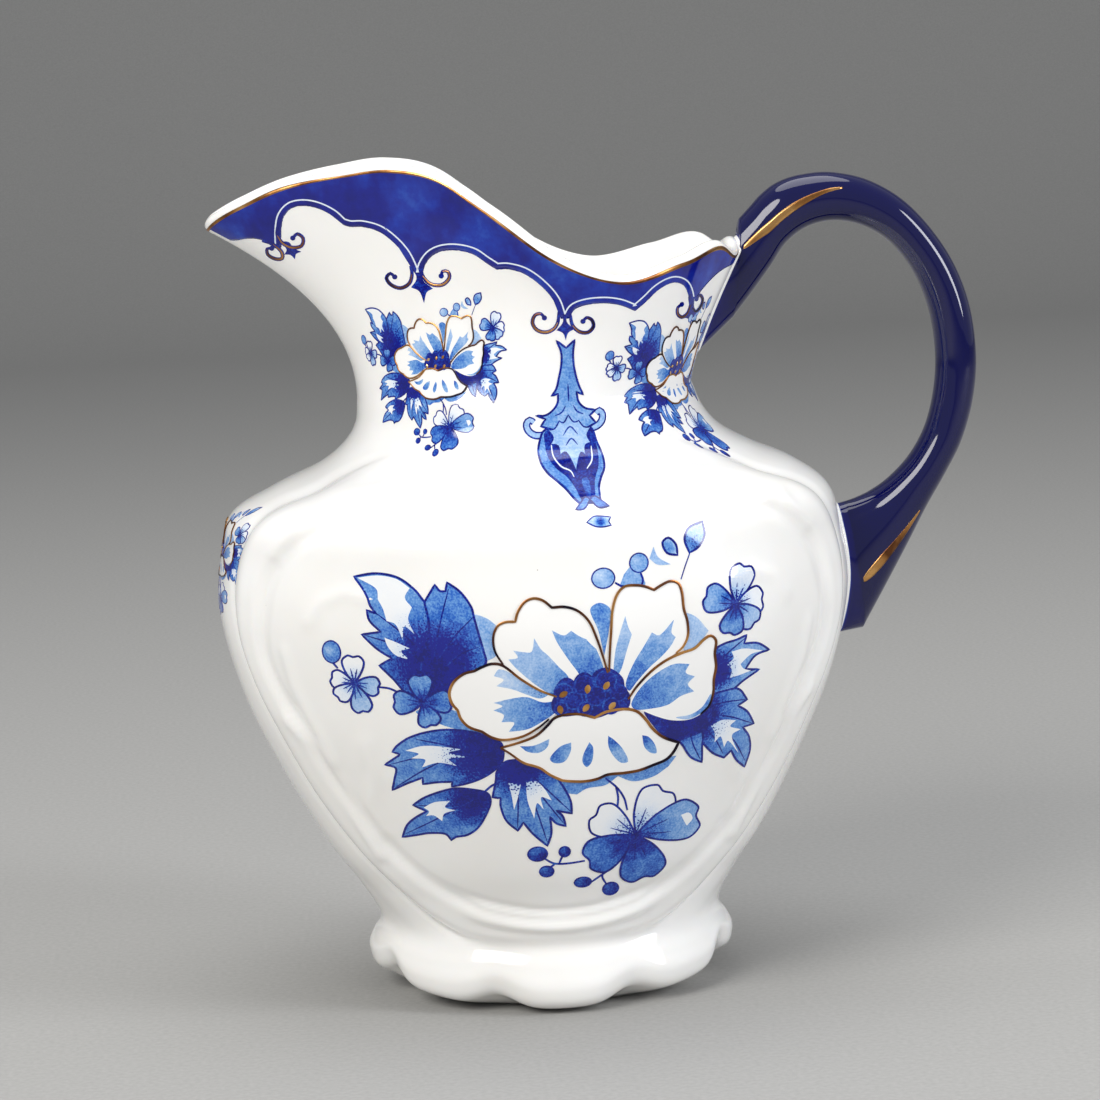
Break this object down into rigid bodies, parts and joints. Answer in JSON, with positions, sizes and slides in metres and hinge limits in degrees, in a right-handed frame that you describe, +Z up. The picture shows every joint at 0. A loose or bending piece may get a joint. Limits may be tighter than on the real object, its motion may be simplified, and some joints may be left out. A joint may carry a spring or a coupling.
{
  "type": "porcelain cream jug",
  "caption": "Baluster cream jug with a leaf-shaped pouring spout, scalloped foot, looped cobalt handle, blue transfer flowers and gilt lines.",
  "frame": {"origin": "centre of the foot ring, on the surface that the jug stands on", "axes": "+Z up, +X towards the handle, -X towards the spout, Y across the jug"},
  "size_m": [0.1547, 0.115, 0.1667],
  "materials": {
    "white_porcelain": "gloss",
    "cobalt_porcelain": "gloss",
    "glazed_slip": "gloss",
    "gilding": "polished"
  },
  "bodies": {
    "root": {"jug_body": "white_porcelain", "handle": "cobalt_porcelain", "handle_top_slip_joint": "glazed_slip", "handle_base_slip_joint": "glazed_slip", "rim_gilding": "gilding", "handle_gilding": "gilding"}
  },
  "joints": []
}
